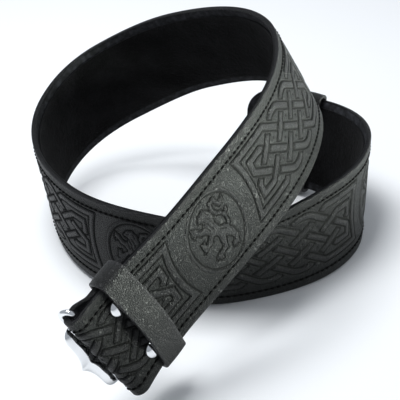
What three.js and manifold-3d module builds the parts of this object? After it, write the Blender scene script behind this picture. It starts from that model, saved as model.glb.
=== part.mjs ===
// Kilt belt: a wide leather strap with a fuzzy lining, coiled on its edge, with the
// buckle swung behind the folded strap end. Millimetres, +Z up.
import * as THREE from "three";
import { mergeVertices } from "three/addons/utils/BufferGeometryUtils.js";
import Module from "manifold-3d";

const wasm = await Module();
wasm.setup();

// Driving dimensions of the strap and its lining
const strapLength = 864;
const strapWidth = 57;
const strapThickness = 3.2;
const edgeRound = 0.7;
const tipRadius = 14;
const foldPlace = 10.5;
const foldBackLength = 46;
const liningThickness = 1.2;
const liningInset = 5;
const liningStart = 50;
const liningTipInset = 6;

// Driving dimensions of the buckle
const barDiameter = 2.8;
const barSlack = 0.6;
const plateLength = 50;
const plateHeight = 42;
const plateThickness = 1.8;
const plateMargin = 9;
const plateCorner = 7;
const plateFarCorner = 18;
const plateBump = 3.5;
const panelInset = 4;
const panelThickness = 0.9;
const plateStandOff = 7.3;
const plateSlide = 0.4;
const legLean = 18;
const hookWidth = 12;
const hookReach = 7;
const hookDrop = 4.2;
const hookThickness = 1.8;
const hookPlace = 4;
const wireFootInset = 6;

// Driving dimensions of the keepers and rivets
const keeperWidth = 15;
const keeperThickness = 2.1;
const keeperPlace = 31.2;
const keeperBow = 4.9;
const keeperSkew = -0.5;
const keeperBackSlack = 1.3;
const tailKeeperFromTip = 40;
const rivetRadius = 4.3;
const rivetHeight = 2.4;
const rivetPostRadius = 1.6;
const rivetBackThickness = 0.8;
const rivetPlace = 25;
const rivetSpread = 32;

// Clearances
const faceGap = 0.3;
const holeGap = 0.35;
const slideGap = 0.95;
const legGap = 0.5;
const barGap = 1;

// How the strap lies. Heading is the way it runs seen from above, in degrees from +X;
// rise is the height of its middle line in strap widths; lean is how far its top edge
// tips outwards, in degrees. One row for each sixteenth of its length, from the fold.
const lie = [
  { heading: 56.5, rise: 0.655, lean: -21 },
  { heading: 43, rise: 1.025, lean: -9 },
  { heading: 51, rise: 1.385, lean: -14.5 },
  { heading: 66.5, rise: 1.61, lean: -21 },
  { heading: 90.5, rise: 1.74, lean: -27 },
  { heading: 133, rise: 1.735, lean: -23 },
  { heading: 152, rise: 1.47, lean: -14 },
  { heading: 189.5, rise: 1.075, lean: 5 },
  { heading: 243.5, rise: 0.735, lean: 9.5 },
  { heading: 281.5, rise: 0.56, lean: 6.5 },
  { heading: 306.5, rise: 0.54, lean: 3 },
  { heading: 336.5, rise: 0.56, lean: 2 },
  { heading: 374.5, rise: 0.5, lean: 9 },
  { heading: 401.5, rise: 0.515, lean: -2 },
  { heading: 439.5, rise: 0.5, lean: 2 },
  { heading: 499.5, rise: 0.535, lean: 22 },
  { heading: 518, rise: 0.555, lean: 8 },
];

const rad = THREE.MathUtils.degToRad;

// A column of the table at a share of the strap's length, as a smooth curve through the rows.
function lieAt(column, share) {
  const last = lie.length - 1;
  const place = THREE.MathUtils.clamp(share, 0, 1) * last;
  const row = Math.min(Math.floor(place), last - 1);
  const value = (k) => {
    if (k < 0) return 2 * lie[0][column] - lie[1][column];
    if (k > last) return 2 * lie[last][column] - lie[last - 1][column];
    return lie[k][column];
  };
  const t = place - row;
  const [a, b, c, d] = [row - 1, row, row + 1, row + 2].map(value);
  return b + 0.5 * t * (c - a + t * (2 * a - 5 * b + 4 * c - d + t * (3 * (b - c) + d - a)));
}

// Direction of travel at a share of the length.
function travel(share) {
  const step = 0.002;
  const low = Math.max(share - step, 0);
  const high = Math.min(share + step, 1);
  const climb = (strapWidth * (lieAt("rise", high) - lieAt("rise", low))) / ((high - low) * strapLength);
  const flat = Math.sqrt(1 - climb * climb);
  const heading = rad(lieAt("heading", share));
  return new THREE.Vector3(Math.cos(heading) * flat, Math.sin(heading) * flat, climb);
}

// Middle line of the outer face, walked in short steps.
const walkSteps = 720;
const walk = [new THREE.Vector3(0, 0, 0)];
for (let i = 0; i < walkSteps; i++) {
  const stride = travel((i + 0.5) / walkSteps).multiplyScalar(strapLength / walkSteps);
  walk.push(walk[i].clone().add(stride));
}
walk.forEach((point, i) => {
  point.z = strapWidth * lieAt("rise", i / walkSteps);
});

// Where the strap is at a distance from the fold: a point on the middle of its outer face,
// along the strap, across it towards the top edge, and inwards through its thickness.
function strapAt(distance) {
  const share = THREE.MathUtils.clamp(distance / strapLength, 0, 1);
  const place = share * walkSteps;
  const k = Math.min(Math.floor(place), walkSteps - 1);
  const along = travel(share);
  const point = walk[k].clone().lerp(walk[k + 1], place - k);
  point.addScaledVector(along, distance - share * strapLength);
  const up = new THREE.Vector3(0, 0, 1);
  up.addScaledVector(along, -up.dot(along)).normalize();
  const outward = along.clone().cross(up);
  const lean = rad(lieAt("lean", share));
  const across = up.multiplyScalar(Math.cos(lean)).addScaledVector(outward, Math.sin(lean));
  const inward = across.clone().cross(along);
  return { point, along, across, inward };
}

// A closed skin through rings of points. Rings turn so that their points run anticlockwise
// seen from the far end. A looped skin joins its last ring to its first. The two halves of
// a ring have their quads cut on opposite diagonals, so opposite faces of a twisted band
// stay an even distance apart.
function loft(rings, looped = false) {
  const sides = rings[0].length;
  const vertices = rings.flat();
  const faces = [];
  const count = looped ? rings.length : rings.length - 1;
  for (let i = 0; i < count; i++) {
    const here = i * sides;
    const next = ((i + 1) % rings.length) * sides;
    for (let j = 0; j < sides; j++) {
      const k = (j + 1) % sides;
      if (2 * j < sides) {
        faces.push(here + j, here + k, next + k, here + j, next + k, next + j);
      } else {
        faces.push(here + j, here + k, next + j, here + k, next + k, next + j);
      }
    }
  }
  if (!looped) {
    const end = (rings.length - 1) * sides;
    for (let j = 1; j < sides - 1; j++) {
      faces.push(0, j + 1, j, end, end + j, end + j + 1);
    }
  }
  const geometry = new THREE.BufferGeometry();
  geometry.setAttribute("position", new THREE.Float32BufferAttribute(vertices.flatMap((v) => v.toArray()), 3));
  geometry.setIndex(faces);
  return geometry;
}

// Cross-section of a flat band with eased corners: depth runs inwards from the outer face.
function bandSection(station, halfWidth, thickness, round) {
  const corners = [
    [0, halfWidth - round],
    [0, round - halfWidth],
    [round, -halfWidth],
    [thickness - round, -halfWidth],
    [thickness, round - halfWidth],
    [thickness, halfWidth - round],
    [thickness - round, halfWidth],
    [round, halfWidth],
  ];
  return corners.map(([depth, side]) =>
    station.point.clone().addScaledVector(station.inward, depth).addScaledVector(station.across, side));
}

// Distances along a stretch in even steps of about the given size.
function spread(from, to, step) {
  const count = Math.max(1, Math.round(Math.abs(to - from) / step));
  return Array.from({ length: count + 1 }, (_, i) => from + ((to - from) * i) / count);
}

// Half the strap's width at a distance from the fold: full, then round at the tip's corners.
function halfWidthAt(distance) {
  const run = Math.max(0, distance - (strapLength - tipRadius));
  return strapWidth / 2 - tipRadius + Math.sqrt(Math.max(0, tipRadius ** 2 - run ** 2));
}

// The strap's end folds back round the bar and lies against the strap's inner face.
const foldGap = barDiameter + 2 * barGap;
const foldRadius = strapThickness + foldGap / 2;
const taperStart = foldPlace + 3;
const taperEnd = rivetPlace - rivetRadius;
function legGapAt(distance) {
  return THREE.MathUtils.lerp(foldGap, legGap, THREE.MathUtils.smoothstep(distance, taperStart, taperEnd));
}

function foldStation(angle) {
  const start = strapAt(foldPlace);
  const centre = start.point.clone().addScaledVector(start.inward, foldRadius);
  const inward = start.inward.clone().multiplyScalar(Math.cos(angle)).addScaledVector(start.along, Math.sin(angle));
  return { point: centre.addScaledVector(inward, -foldRadius), across: start.across, inward };
}

function backLegStation(distance) {
  const front = strapAt(distance);
  const depth = 2 * strapThickness + legGapAt(distance);
  const point = front.point.clone().addScaledVector(front.inward, depth);
  return { point, across: front.across, inward: front.inward.clone().negate() };
}

const foldSteps = 8;
const stationSpacing = 5.5;
const tipStart = strapLength - tipRadius;
const tipStations = [0, 25, 45, 60, 72, 82].map((angle) => tipStart + tipRadius * Math.sin(rad(angle)));
const stations = [...spread(foldPlace, tipStart, stationSpacing).slice(0, -1), ...tipStations];

function strapGeometry() {
  const rings = [];
  for (const distance of spread(foldBackLength, foldPlace, 4)) {
    rings.push(bandSection(backLegStation(distance), strapWidth / 2, strapThickness, edgeRound));
  }
  for (let i = 1; i < foldSteps; i++) {
    const station = foldStation(Math.PI * (1 - i / foldSteps));
    rings.push(bandSection(station, strapWidth / 2, strapThickness, edgeRound));
  }
  for (const distance of stations) {
    rings.push(bandSection(strapAt(distance), halfWidthAt(distance), strapThickness, edgeRound));
  }
  return loft(rings);
}

function liningGeometry() {
  const end = strapLength - liningTipInset;
  const between = stations.filter((distance) => distance > liningStart + 1 && distance < end - 1);
  const distances = [liningStart, ...between, end];
  const rings = distances.map((distance) => {
    const station = strapAt(distance);
    station.point.addScaledVector(station.inward, strapThickness + faceGap);
    const half = Math.min(strapWidth / 2, halfWidthAt(distance)) - liningInset;
    return bandSection(station, half, liningThickness, 0.3);
  });
  return loft(rings);
}

// A keeper is a leather loop round the strap. Its route is drawn across the strap: a
// front that may bow out, two round ends and a flat back behind all that it holds.
function keeperGeometry({ distance, stack, bow, backSlack, skew }) {
  const station = strapAt(distance);
  const turn = new THREE.Quaternion().setFromAxisAngle(station.inward, rad(skew));
  const along = station.along.clone().applyQuaternion(turn);
  const across = station.across.clone().applyQuaternion(turn);
  const halfSpan = strapWidth / 2 / Math.cos(rad(skew)) + (keeperWidth / 2) * Math.tan(rad(Math.abs(skew))) + slideGap;
  const endRadius = stack / 2 + slideGap;
  const straight = halfSpan - 0.35 * endRadius;
  const route = [];
  for (const side of spread(-straight, straight, 5)) {
    const crown = Math.max(0, Math.cos((Math.PI * side) / (2 * straight)));
    route.push([side, -slideGap - bow * crown ** 1.2]);
  }
  for (const angle of [30, 60, 90, 120, 150]) {
    const reach = 0.35 * endRadius * Math.sin(rad(angle));
    route.push([straight + reach, stack / 2 - endRadius * Math.cos(rad(angle))]);
  }
  for (const side of spread(straight, -straight, 12)) {
    const crown = Math.max(0, Math.cos((Math.PI * side) / (2 * straight)));
    route.push([side, stack + slideGap + backSlack * crown ** 0.5]);
  }
  for (const angle of [150, 120, 90, 60, 30]) {
    const reach = 0.35 * endRadius * Math.sin(rad(angle));
    route.push([-straight - reach, stack / 2 - endRadius * Math.cos(rad(angle))]);
  }
  const rings = route.map(([side, depth], i) => {
    const before = route[(i + route.length - 1) % route.length];
    const after = route[(i + 1) % route.length];
    const slope = new THREE.Vector2(after[0] - before[0], after[1] - before[1]).normalize();
    const outSide = slope.y;
    const outDepth = -slope.x;
    const corner = (out, run) =>
      station.point.clone()
        .addScaledVector(across, side + out * outSide)
        .addScaledVector(station.inward, depth + out * outDepth)
        .addScaledVector(along, run);
    const half = keeperWidth / 2;
    const ease = 0.6;
    return [
      corner(0, half - ease),
      corner(0, ease - half),
      corner(ease, -half),
      corner(keeperThickness - ease, -half),
      corner(keeperThickness, ease - half),
      corner(keeperThickness, half - ease),
      corner(keeperThickness - ease, half),
      corner(ease, half),
    ];
  });
  return loft(rings, true);
}

// manifold-3d in and out
function toSolid(geometry) {
  const bare = geometry.clone();
  bare.deleteAttribute("normal");
  bare.deleteAttribute("uv");
  const merged = mergeVertices(bare, 1e-4);
  return new wasm.Manifold(new wasm.Mesh({
    numProp: 3,
    vertProperties: new Float32Array(merged.attributes.position.array),
    triVerts: new Uint32Array(merged.index.array),
  }));
}

function toGeometry(solid) {
  const mesh = solid.getMesh();
  const geometry = new THREE.BufferGeometry();
  geometry.setAttribute("position", new THREE.BufferAttribute(new Float32Array(mesh.vertProperties), 3));
  geometry.setIndex(new THREE.BufferAttribute(new Uint32Array(mesh.triVerts), 1));
  return geometry;
}

// The frame in which a rivet stands: its post along +Z out of the strap's face.
function rivetFrame(side) {
  const station = strapAt(rivetPlace);
  const point = station.point.clone().addScaledVector(station.across, side);
  const out = station.inward.clone().negate();
  return new THREE.Matrix4().makeBasis(station.across.clone().negate(), station.along, out).setPosition(point);
}

const rivetSides = [rivetSpread / 2, -rivetSpread / 2];
const rivetStack = 2 * strapThickness + legGapAt(rivetPlace);

function strapWithHoles() {
  let solid = toSolid(strapGeometry());
  const holeRadius = rivetPostRadius + holeGap;
  const holeLength = 3 * rivetStack;
  for (const side of rivetSides) {
    const hole = new THREE.CylinderGeometry(holeRadius, holeRadius, holeLength, 12);
    hole.rotateX(Math.PI / 2).translate(0, 0, -rivetStack / 2).applyMatrix4(rivetFrame(side));
    solid = solid.subtract(toSolid(hole));
  }
  return toGeometry(solid);
}

function rivetGeometry(side) {
  const under = faceGap;
  const behind = -rivetStack - faceGap;
  const rim = 0.35 * rivetHeight;
  const profile = [
    [0, behind - rivetBackThickness],
    [rivetRadius - 0.6, behind - rivetBackThickness],
    [rivetRadius - 0.4, behind],
    [rivetPostRadius, behind],
    [rivetPostRadius, under],
    [rivetRadius, under],
    [rivetRadius, under + rim],
    [0.86 * rivetRadius, under + 0.66 * rivetHeight],
    [0.5 * rivetRadius, under + 0.92 * rivetHeight],
    [0, under + rivetHeight],
  ];
  const lathe = new THREE.LatheGeometry(profile.map(([x, y]) => new THREE.Vector2(x, y)), 20);
  lathe.rotateX(Math.PI / 2).applyMatrix4(rivetFrame(side));
  return lathe;
}

// Outline of the buckle plate, x along the strap and y across it: its end at the fold is
// drawn out to a soft point in the middle, and its far end is rounder.
function plateOutline(inset) {
  const left = inset - plateMargin;
  const right = plateLength - plateMargin - inset;
  const half = plateHeight / 2 - inset;
  const corner = plateCorner - inset / 2;
  const farCorner = Math.min(plateFarCorner - inset / 2, 0.96 * half);
  const waist = 0.16 * plateHeight;
  const shape = new THREE.Shape();
  shape.moveTo(left + corner, -half);
  shape.lineTo(right - farCorner, -half);
  shape.quadraticCurveTo(right, -half, right, farCorner - half);
  shape.lineTo(right, half - farCorner);
  shape.quadraticCurveTo(right, half, right - farCorner, half);
  shape.lineTo(left + corner, half);
  shape.quadraticCurveTo(left, half, left, half - corner);
  shape.bezierCurveTo(left, waist, left - plateBump * 0.3, waist * 0.5, left - plateBump, 0);
  shape.bezierCurveTo(left - plateBump * 0.3, -waist * 0.5, left, -waist, left, corner - half);
  shape.quadraticCurveTo(left, -half, left + corner, -half);
  return shape;
}

function extruded(shape, depth, bevel) {
  return new THREE.ExtrudeGeometry(shape, {
    depth: depth - 2 * bevel,
    bevelEnabled: bevel > 0,
    bevelThickness: bevel,
    bevelSize: bevel,
    bevelOffset: -bevel,
    bevelSegments: 1,
    curveSegments: 6,
  }).translate(0, 0, bevel);
}

// A round wire through points of the plane x = 0, mitred at each bend.
function wireGeometry(route, radius) {
  const sides = 10;
  const rings = route.map((point, i) => {
    const before = route[Math.max(i - 1, 0)];
    const after = route[Math.min(i + 1, route.length - 1)];
    const way = after.clone().sub(before).normalize();
    const normal = new THREE.Vector3(0, way.z, -way.y);
    return Array.from({ length: sides }, (_, j) => {
      const angle = (2 * Math.PI * j) / sides;
      return point.clone()
        .addScaledVector(new THREE.Vector3(1, 0, 0), radius * Math.cos(angle))
        .addScaledVector(normal, radius * Math.sin(angle));
    });
  });
  return loft(rings);
}

// Buckle in its own frame: the bar lies on the Y axis, which points to the strap's lower
// edge, the plate's body runs to +X behind the strap, and +Z is away from the strap. The
// bar's ends turn back round the fold to the plate's margin.
function buckleGeometry() {
  const plate = extruded(plateOutline(0), plateThickness, 0.4).translate(0, plateSlide, plateStandOff);
  const panelFoot = plateStandOff + plateThickness - 0.1;
  const panel = extruded(plateOutline(panelInset), panelThickness + 0.1, 0.4).translate(0, plateSlide, panelFoot);
  const reach = strapWidth / 2 + barSlack + barDiameter / 2;
  const bend = 2.2;
  const footDepth = (plateStandOff - 0.3) / Math.cos(rad(legLean));
  const footUp = plateSlide + plateHeight / 2 - wireFootInset;
  const footDown = plateSlide - plateHeight / 2 + wireFootInset;
  const point = (y, z) => new THREE.Vector3(0, y, z);
  const wire = wireGeometry([
    point(footDown, footDepth),
    point(-reach + bend, footDepth),
    point(-reach + 0.3 * bend, footDepth - 0.3 * bend),
    point(-reach, footDepth - bend),
    point(-reach, bend),
    point(-reach + 0.3 * bend, 0.3 * bend),
    point(-reach + bend, 0),
    point(reach - bend, 0),
    point(reach - 0.3 * bend, 0.3 * bend),
    point(reach, bend),
    point(reach, footDepth - bend),
    point(reach - 0.3 * bend, footDepth - 0.3 * bend),
    point(reach - bend, footDepth),
    point(footUp, footDepth),
  ], barDiameter / 2).rotateY(-rad(legLean));
  const hookAlong = plateLength - plateMargin - hookPlace;
  const hookRise = new THREE.BoxGeometry(hookThickness, hookWidth, hookDrop + 0.2)
    .translate(hookAlong, plateSlide, plateStandOff - hookDrop / 2 + 0.1);
  const hookTongue = new THREE.BoxGeometry(hookReach, hookWidth, hookThickness)
    .translate(hookAlong - hookReach / 2 + hookThickness / 2, plateSlide, plateStandOff - hookDrop + hookThickness / 2);
  const parts = [panel, wire, hookRise, hookTongue];
  const solid = parts.reduce((sum, part) => sum.add(toSolid(part)), toSolid(plate));
  return toGeometry(solid);
}

function buckleFrame() {
  const start = strapAt(foldPlace);
  const centre = start.point.clone().addScaledVector(start.inward, foldRadius);
  const lower = start.across.clone().negate();
  return new THREE.Matrix4().makeBasis(start.along, lower, start.inward).setPosition(centre);
}

// Finishes
const embossedLeather = { color: 0x1b1d1b, roughness: 0.42, metalness: 0 };
const plainLeather = { color: 0x1d1e1c, roughness: 0.5, metalness: 0 };
const fuzzyLining = { color: 0x0b0b0c, roughness: 0.95, metalness: 0 };
const chrome = { color: 0xe6e7e8, roughness: 0.12, metalness: 1 };

const belt = new THREE.Group();

function add(name, geometry, finish) {
  const mesh = new THREE.Mesh(geometry, new THREE.MeshStandardMaterial(finish));
  mesh.name = name;
  belt.add(mesh);
}

add("strap", strapWithHoles(), embossedLeather);
add("lining", liningGeometry(), fuzzyLining);
add("buckle_keeper", keeperGeometry({
  distance: keeperPlace,
  stack: 2 * strapThickness + legGap,
  bow: keeperBow,
  backSlack: keeperBackSlack,
  skew: keeperSkew,
}), plainLeather);
add("tail_keeper", keeperGeometry({
  distance: strapLength - tailKeeperFromTip,
  stack: strapThickness + faceGap + liningThickness,
  bow: 0,
  backSlack: 0,
  skew: 0,
}), plainLeather);
rivetSides.forEach((side, i) => add(`rivet_${i + 1}`, rivetGeometry(side), chrome));
add("buckle", buckleGeometry().applyMatrix4(buckleFrame()), chrome);

// The origin is under the middle of the belt, on the surface that it stands on.
const box = new THREE.Box3().setFromObject(belt);
belt.position.set(-(box.min.x + box.max.x) / 2, -(box.min.y + box.max.y) / 2, -box.min.z);

export default belt;
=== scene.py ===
"""A kilt belt in embossed black leather, dressed on its solids: a wide strap coiled on its
edge, with a fuzzy lining, two leather keepers, two domed rivets and a chrome buckle that
hangs behind the folded strap end. Sizes are in millimetres until a mesh is made."""

import logging
import math
from dataclasses import dataclass, field
from enum import Enum
from typing import Any, Sequence

import bpy
import numpy as np
from mathutils import Matrix, Vector

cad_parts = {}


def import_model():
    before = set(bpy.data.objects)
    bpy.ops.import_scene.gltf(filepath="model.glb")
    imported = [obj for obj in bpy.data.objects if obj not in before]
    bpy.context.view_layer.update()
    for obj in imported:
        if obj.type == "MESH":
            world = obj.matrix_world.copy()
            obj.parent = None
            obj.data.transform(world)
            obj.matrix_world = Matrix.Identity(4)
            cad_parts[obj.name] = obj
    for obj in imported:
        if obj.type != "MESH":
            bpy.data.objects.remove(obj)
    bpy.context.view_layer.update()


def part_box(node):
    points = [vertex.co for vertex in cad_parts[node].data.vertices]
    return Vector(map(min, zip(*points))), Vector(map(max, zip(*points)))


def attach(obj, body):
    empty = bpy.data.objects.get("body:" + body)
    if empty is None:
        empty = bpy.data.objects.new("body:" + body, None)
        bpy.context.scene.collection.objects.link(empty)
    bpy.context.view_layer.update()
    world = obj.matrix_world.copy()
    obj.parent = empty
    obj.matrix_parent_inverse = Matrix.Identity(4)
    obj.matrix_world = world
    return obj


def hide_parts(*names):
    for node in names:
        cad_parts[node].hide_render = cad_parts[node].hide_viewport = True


logging.basicConfig(level=logging.INFO, format="%(message)s")
log = logging.getLogger("belt")

MM = 0.001
Array = np.ndarray


# Shader and node helpers


class Socket:
    """A number on a node's output, with the operators that a shader formula uses."""

    def __init__(self, tree: "Nodes", output: bpy.types.NodeSocket) -> None:
        """Keeps the tree and the output socket."""
        self.tree = tree
        self.output = output

    def _math(self, operation: str, first: Any, second: Any) -> "Socket":
        """Adds one Math node on two numbers or sockets."""
        return self.tree.add("ShaderNodeMath", {"operation": operation}, {0: first, 1: second})

    def __add__(self, other: Any) -> "Socket":
        """Sum."""
        return self._math("ADD", self, other)

    def __radd__(self, other: Any) -> "Socket":
        """Sum with a number first."""
        return self._math("ADD", other, self)

    def __sub__(self, other: Any) -> "Socket":
        """Difference."""
        return self._math("SUBTRACT", self, other)

    def __rsub__(self, other: Any) -> "Socket":
        """Difference from a number."""
        return self._math("SUBTRACT", other, self)

    def __mul__(self, other: Any) -> "Socket":
        """Product."""
        return self._math("MULTIPLY", self, other)

    def __rmul__(self, other: Any) -> "Socket":
        """Product with a number first."""
        return self._math("MULTIPLY", other, self)

    def clamp(self) -> "Socket":
        """This number held between 0 and 1."""
        return self.tree.add("ShaderNodeClamp", {}, {"Value": self})

    def smooth(self, low: float, high: float) -> "Socket":
        """0 below low and 1 above high, with a smooth step between them."""
        ranged = {"Value": self, "From Min": low, "From Max": high}
        return self.tree.add("ShaderNodeMapRange", {"interpolation_type": "SMOOTHSTEP"}, ranged)


class Nodes:
    """A node tree that is filled one node at a time."""

    def __init__(self, tree: bpy.types.NodeTree) -> None:
        """Keeps the tree."""
        self.tree = tree

    @staticmethod
    def pick(sockets: Any, key: int | str) -> bpy.types.NodeSocket:
        """A socket by its number, its name or its identifier."""
        if isinstance(key, int) or key in sockets:
            return sockets[key]
        return next(socket for socket in sockets if socket.identifier == key)

    def add(self, kind: str, settings: dict[str, Any], inputs: dict, out: int | str = 0) -> Socket:
        """Adds a node, sets it, and feeds its inputs.

        Args:
            kind: the node's type.
            settings: its own settings, made before its inputs.
            inputs: numbers, colours or sockets by input name, identifier or number.
            out: the output that is wanted, by name, identifier or number.

        Returns:
            The wanted output, which is empty on a node that has none.
        """
        node = self.tree.nodes.new(kind)
        for name, value in settings.items():
            setattr(node, name, value)
        for name, value in inputs.items():
            socket = self.pick(node.inputs, name)
            if isinstance(value, Socket):
                self.tree.links.new(value.output, socket)
            else:
                socket.default_value = value
        return Socket(self, self.pick(node.outputs, out) if len(node.outputs) else None)


@dataclass(frozen=True)
class Finish:
    """What every finish has: its name and the constants of its surface. The patterns' sizes
    are in features a metre, and their depths in metres."""

    name: str
    colour: tuple[float, float, float]
    roughness: float
    metallic: float = 0.0
    constants: tuple[tuple[str, Any], ...] = ()

    def make(self) -> bpy.types.Material:
        """Builds the material.

        Returns:
            The new material, with its own nodes.
        """
        material = bpy.data.materials.new(self.name)
        material.use_nodes = True
        material.node_tree.nodes.clear()
        nodes = Nodes(material.node_tree)
        values = {"Base Color": (*self.colour, 1.0), "Roughness": self.roughness, "Metallic": self.metallic}
        values.update(self.constants)
        values.update(self.dress(nodes, nodes.add("ShaderNodeTexCoord", {}, {}, "Object")))
        surface = nodes.add("ShaderNodeBsdfPrincipled", {}, values, "BSDF")
        nodes.add("ShaderNodeOutputMaterial", {}, {"Surface": surface})
        return material

    def dress(self, nodes: Nodes, place: Socket) -> dict[str, Socket]:
        """The finish's own pattern.

        Args:
            nodes: the material's tree.
            place: Object coordinates, in metres.

        Returns:
            What feeds the surface shader, by input name. The plain finish has nothing.
        """
        return {}

    def noise(self, nodes: Nodes, place: Socket, scale: float, detail: float) -> Socket:
        """A soft noise with the given number of features a metre."""
        return nodes.add("ShaderNodeTexNoise", {}, {"Vector": place, "Scale": scale, "Detail": detail})

    def cells(self, nodes: Nodes, place: Socket, scale: float) -> Socket:
        """Distance to the nearest edge between cells."""
        inputs = {"Vector": place, "Scale": scale}
        return nodes.add("ShaderNodeTexVoronoi", {"feature": "DISTANCE_TO_EDGE"}, inputs)

    def bump(self, nodes: Nodes, height: Socket, depth: float, strength: float = 1.0) -> Socket:
        """A normal from a height of 0 to 1 that is depth metres deep."""
        inputs = {"Height": height, "Distance": depth, "Strength": strength}
        return nodes.add("ShaderNodeBump", {}, inputs)

    def mix(self, nodes: Nodes, share: Socket, first: Any, second: Any) -> Socket:
        """A mix of two colours, each a triple or a socket.

        Args:
            nodes: the material's tree.
            share: how much of the second colour there is.
            first: the colour at 0.
            second: the colour at 1.

        Returns:
            The mixed colour.
        """
        first, second = (c if isinstance(c, Socket) else (*c, 1.0) for c in (first, second))
        inputs = {"Factor_Float": share, "A_Color": first, "B_Color": second}
        return nodes.add("ShaderNodeMix", {"data_type": "RGBA"}, inputs, "Result_Color")

    def shade(self, factor: float) -> tuple[float, float, float]:
        """The finish's colour, made lighter or darker."""
        return tuple(factor * c for c in self.colour)


@dataclass(frozen=True)
class GrainedLeather(Finish):
    """Black leather with a fine pebbled grain. Tooled grooves get painted shade, and edges and raised
    relief are paler: partly wear, partly painted highlight.
    """

    # Paler colour for edges (wear with painted highlight) and raised relief (painted highlight).
    wear_and_highlight: tuple[float, float, float] = (0.02, 0.019, 0.021)
    # Near-black painted shade for the tooled grooves and the stitch channel.
    groove_shade: tuple[float, float, float] = (0.001, 0.001, 0.001)
    grain: float = 1050.0
    pores: float = 2730.0
    blotches: float = 45.0
    blotch_shade: float = 1.9
    grain_depth: float = 0.0007

    def dress(self, nodes: Nodes, place: Socket) -> dict[str, Socket]:
        """Grain, faint blotches, painted shade in the tooled grooves, and paler edges and relief: wear with
        painted highlight.
        """
        cells = self.cells(nodes, place, self.grain).smooth(0.0, 0.35)
        fine = self.noise(nodes, place, self.pores, 4.0)
        blotch = self.noise(nodes, place, self.blotches, 5.0)
        masks = ("groove_shade", "wear_and_highlight")
        groove_shade, wear_and_highlight = (nodes.add("ShaderNodeAttribute", {"attribute_name": n}, {}, "Fac") for n in masks)
        ground = self.mix(nodes, blotch.smooth(0.35, 0.7), self.colour, self.shade(self.blotch_shade))
        # Mixes in the paler colour: wear with painted highlight.
        ground = self.mix(nodes, (wear_and_highlight * (0.35 + 0.65 * blotch)).clamp(), ground, self.wear_and_highlight)
        # Darkens the tooled grooves with painted shade.
        ground = self.mix(nodes, groove_shade.clamp(), ground, self.groove_shade)
        rough = self.roughness - 0.06 + 0.12 * blotch + 0.1 * fine + 0.5 * groove_shade - 0.06 * wear_and_highlight
        normal = self.bump(nodes, 0.72 * cells + 0.28 * fine, self.grain_depth)
        return {"Base Color": ground, "Roughness": rough.clamp(), "Normal": normal}


@dataclass(frozen=True)
class FleshSide(Finish):
    """The strap's inner face: a rough, slightly paler nap."""

    pale: tuple[float, float, float] = (0.03, 0.031, 0.036)
    nap: float = 2400.0
    scuffs: float = 320.0
    nap_depth: float = 0.0004

    def dress(self, nodes: Nodes, place: Socket) -> dict[str, Socket]:
        """Nap and pale scuffs."""
        nap = self.noise(nodes, place, self.nap, 6.0)
        scuff = self.noise(nodes, place, self.scuffs, 6.0)
        return {
            "Base Color": self.mix(nodes, scuff.smooth(0.35, 0.75), self.colour, self.pale),
            "Roughness": (self.roughness - 0.1 + 0.2 * scuff).clamp(),
            "Normal": self.bump(nodes, 0.6 * nap + 0.4 * scuff, self.nap_depth),
        }


@dataclass(frozen=True)
class FuzzyCloth(Finish):
    """Black loop cloth: a matt pile with small tufts."""

    tufts: float = 900.0
    pile: float = 3000.0
    bloom: float = 60.0
    bloom_shade: float = 7.0
    pile_depth: float = 0.0007

    def dress(self, nodes: Nodes, place: Socket) -> dict[str, Socket]:
        """Tufts and a faint paler bloom."""
        tufts = self.cells(nodes, place, self.tufts).smooth(0.0, 0.5)
        pile = self.noise(nodes, place, self.pile, 5.0)
        bloom = self.noise(nodes, place, self.bloom, 4.0)
        share = (bloom * pile).smooth(0.18, 0.42)
        return {
            "Base Color": self.mix(nodes, share, self.colour, self.shade(self.bloom_shade)),
            "Roughness": (self.roughness - 0.05 + 0.1 * pile).clamp(),
            "Normal": self.bump(nodes, 0.6 * tufts + 0.4 * pile, self.pile_depth),
        }


@dataclass(frozen=True)
class PolishedMetal(Finish):
    """Chrome with faint handling marks."""

    patches: float = 90.0
    marks: float = 1800.0
    patch_shade: float = 0.86
    mark_depth: float = 0.00001

    def dress(self, nodes: Nodes, place: Socket) -> dict[str, Socket]:
        """Fine scratches and slightly duller patches."""
        patch = self.noise(nodes, place, self.patches, 4.0)
        marks = self.noise(nodes, place, self.marks, 3.0)
        share, darker = patch.smooth(0.4, 0.8), self.shade(self.patch_shade)
        return {
            "Base Color": self.mix(nodes, share, self.colour, darker),
            "Roughness": (self.roughness + 0.08 * patch * marks).clamp(),
            "Normal": self.bump(nodes, marks, self.mark_depth, 0.4),
        }


@dataclass(frozen=True)
class WaxedThread(Finish):
    """Black waxed sewing thread."""

    strands: float = 5200.0
    strand_shade: float = 3.0
    strand_depth: float = 0.00008

    def dress(self, nodes: Nodes, place: Socket) -> dict[str, Socket]:
        """The lay of the thread's strands."""
        strands = self.noise(nodes, place, self.strands, 2.0)
        share, lighter = strands.smooth(0.4, 0.7), self.shade(self.strand_shade)
        return {
            "Base Color": self.mix(nodes, share, self.colour, lighter),
            "Roughness": (self.roughness + 0.1 * strands).clamp(),
            "Normal": self.bump(nodes, strands, self.strand_depth),
        }


@dataclass(frozen=True)
class StudioFloor(Finish):
    """A plain pale floor with the least unevenness."""

    patches: float = 3.0
    patch_shade: float = 0.985

    def dress(self, nodes: Nodes, place: Socket) -> dict[str, Socket]:
        """A very faint change of shade."""
        shade = self.noise(nodes, place, self.patches, 2.0)
        return {"Base Color": self.mix(nodes, shade, self.colour, self.shade(self.patch_shade))}


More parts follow.
